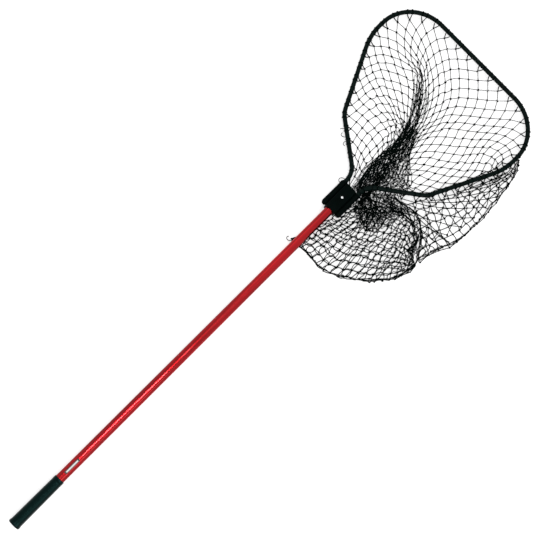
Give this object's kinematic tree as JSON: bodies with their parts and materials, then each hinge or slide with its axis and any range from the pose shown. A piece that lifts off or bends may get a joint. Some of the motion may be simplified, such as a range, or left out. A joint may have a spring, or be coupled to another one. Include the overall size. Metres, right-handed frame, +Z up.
{
  "type": "landing net",
  "caption": "Angler's landing net lying flat: octagonal handle sliding in a button-locked yoke, bent tube hoop and knotted mesh bag fallen to one side.",
  "frame": {"origin": "centre of the yoke's flat underside, on the surface that the net lies on", "axes": "+Z up, +Y along the handle from the grip to the hoop, +X to the side on which the bag lies"},
  "size_m": [0.584, 1.7632, 0.0361],
  "materials": {
    "anodised_red": "glossy red anodised extrusion",
    "grip_rubber": "matt black ribbed rubber",
    "moulded_plastic": "satin black moulded nylon",
    "coated_tube": "satin black coated aluminium tube",
    "bright_steel": "bright plated steel",
    "net_twine": "black knotted nylon twine"
  },
  "bodies": {
    "head": {"yoke": "moulded_plastic", "hoop_tube": "coated_tube", "hoop_rivet_left": "bright_steel", "hoop_rivet_right": "bright_steel", "net_mouth_panel": "net_twine", "net_pouch_floor": "net_twine", "net_pouch_roof": "net_twine", "net_border_twine": "net_twine"},
    "handle": {"handle_tube": "anodised_red", "handle_grip": "grip_rubber", "nose_plug": "moulded_plastic", "butt_plug": "moulded_plastic", "button_spring": "bright_steel"},
    "button": {"lock_button": "bright_steel"}
  },
  "joints": [
    {"name": "handle_slide", "type": "slide", "parent": "head", "child": "handle", "axis": [0, 1, 0], "range_m": [0, 0.5]},
    {"name": "button_press", "type": "slide", "parent": "handle", "child": "button", "axis": [0, 0, -1], "range_m": [0, 0.0057], "stiffness_N_per_m": 1500, "springref_m": -0.002, "deforming": ["button_spring"]}
  ]
}
